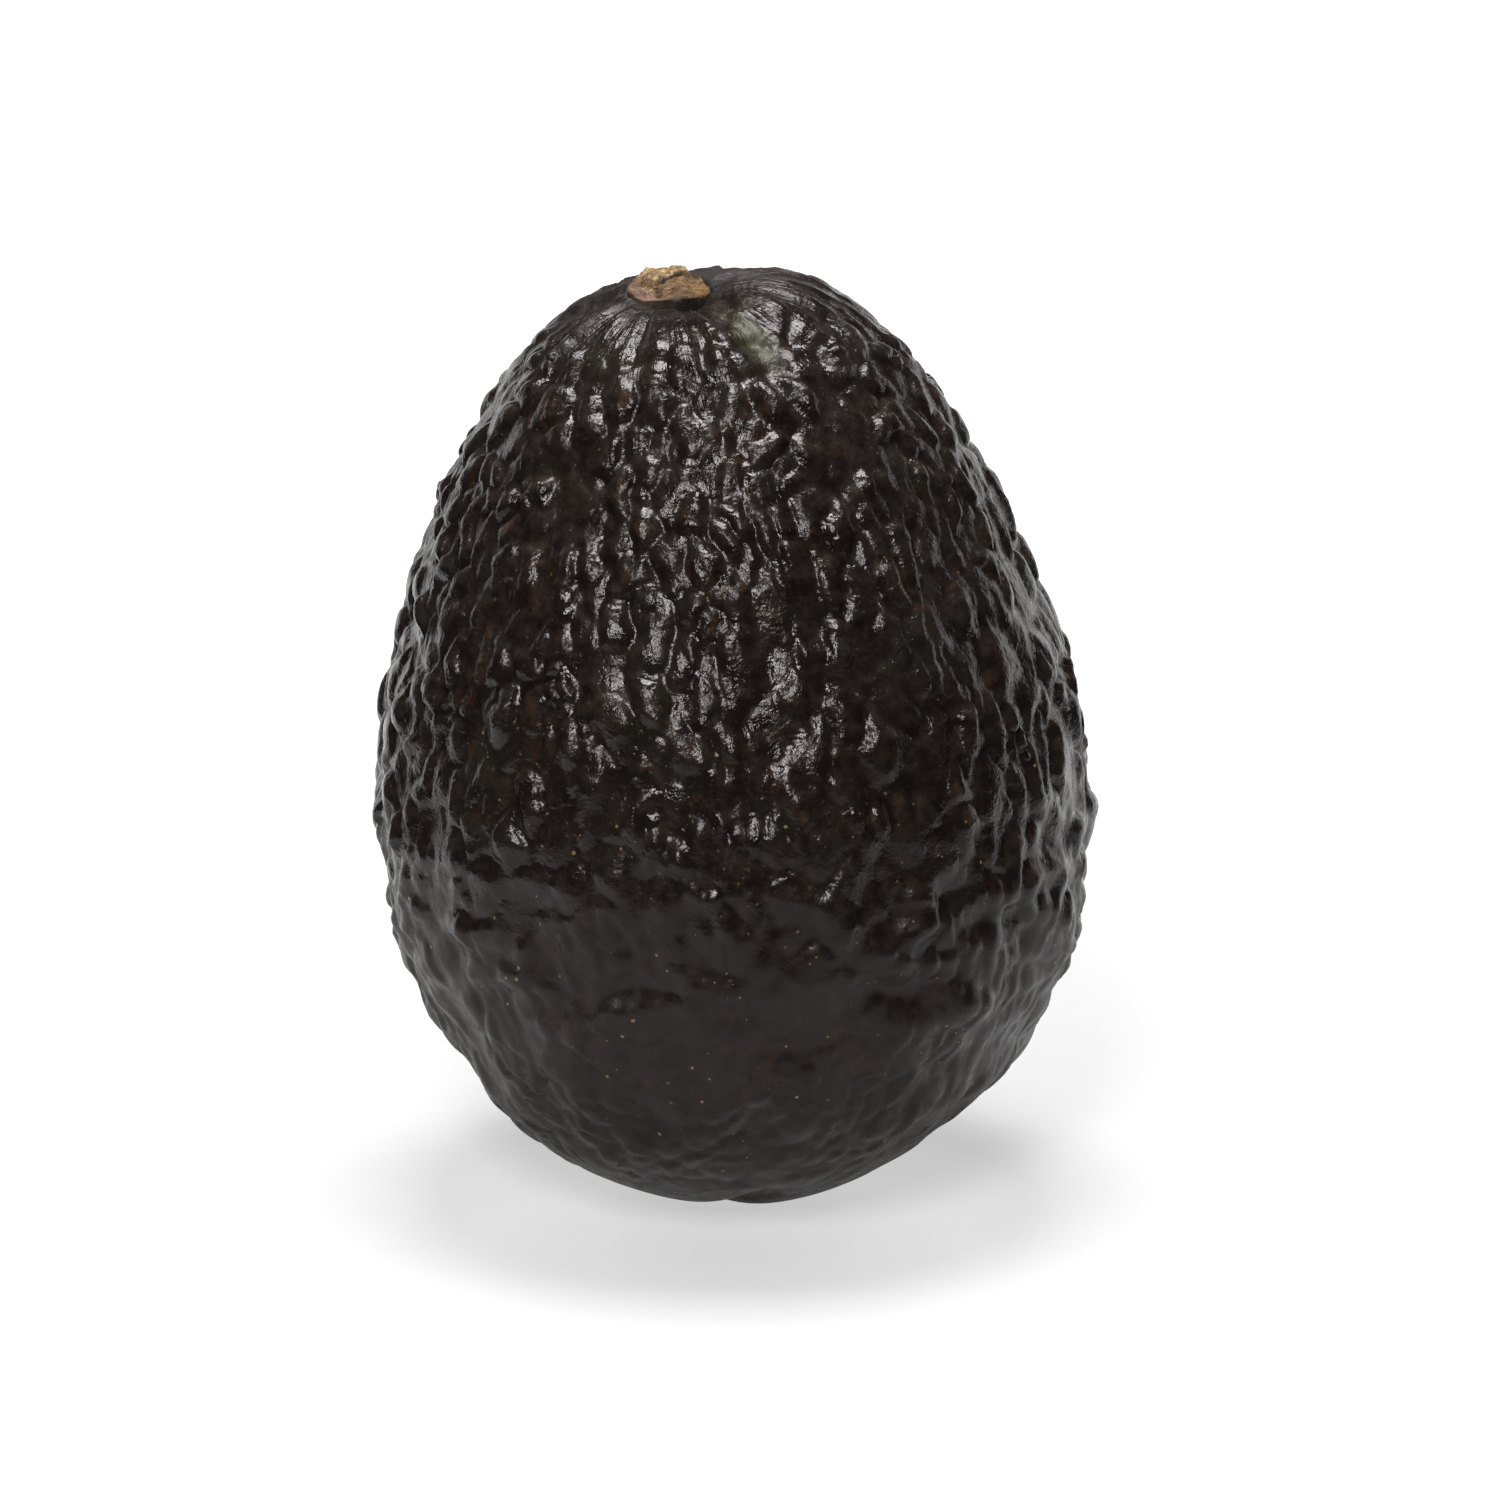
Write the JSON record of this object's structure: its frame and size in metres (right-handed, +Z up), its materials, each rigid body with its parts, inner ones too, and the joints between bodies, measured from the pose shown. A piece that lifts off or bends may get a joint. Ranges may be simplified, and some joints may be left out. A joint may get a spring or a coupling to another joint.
{
  "type": "avocado",
  "caption": "Whole ripe pebbled avocado standing on its blunt end, with its dry woody stem button in a socket at the top",
  "frame": {"origin": "the middle of the small flat spot that the fruit stands on", "axes": "+Z up along the fruit to its stem end, +X to the fruit's right as seen from its front, -Y to the front"},
  "size_m": [0.0705, 0.0683, 0.0925],
  "materials": {
    "skin": "near-black brown pebbled skin with a waxy gloss",
    "stem": "dry, cracked, tan-brown woody stub, matt"
  },
  "bodies": {
    "root": {"fruit": "skin", "stem_button": "stem"}
  },
  "joints": []
}
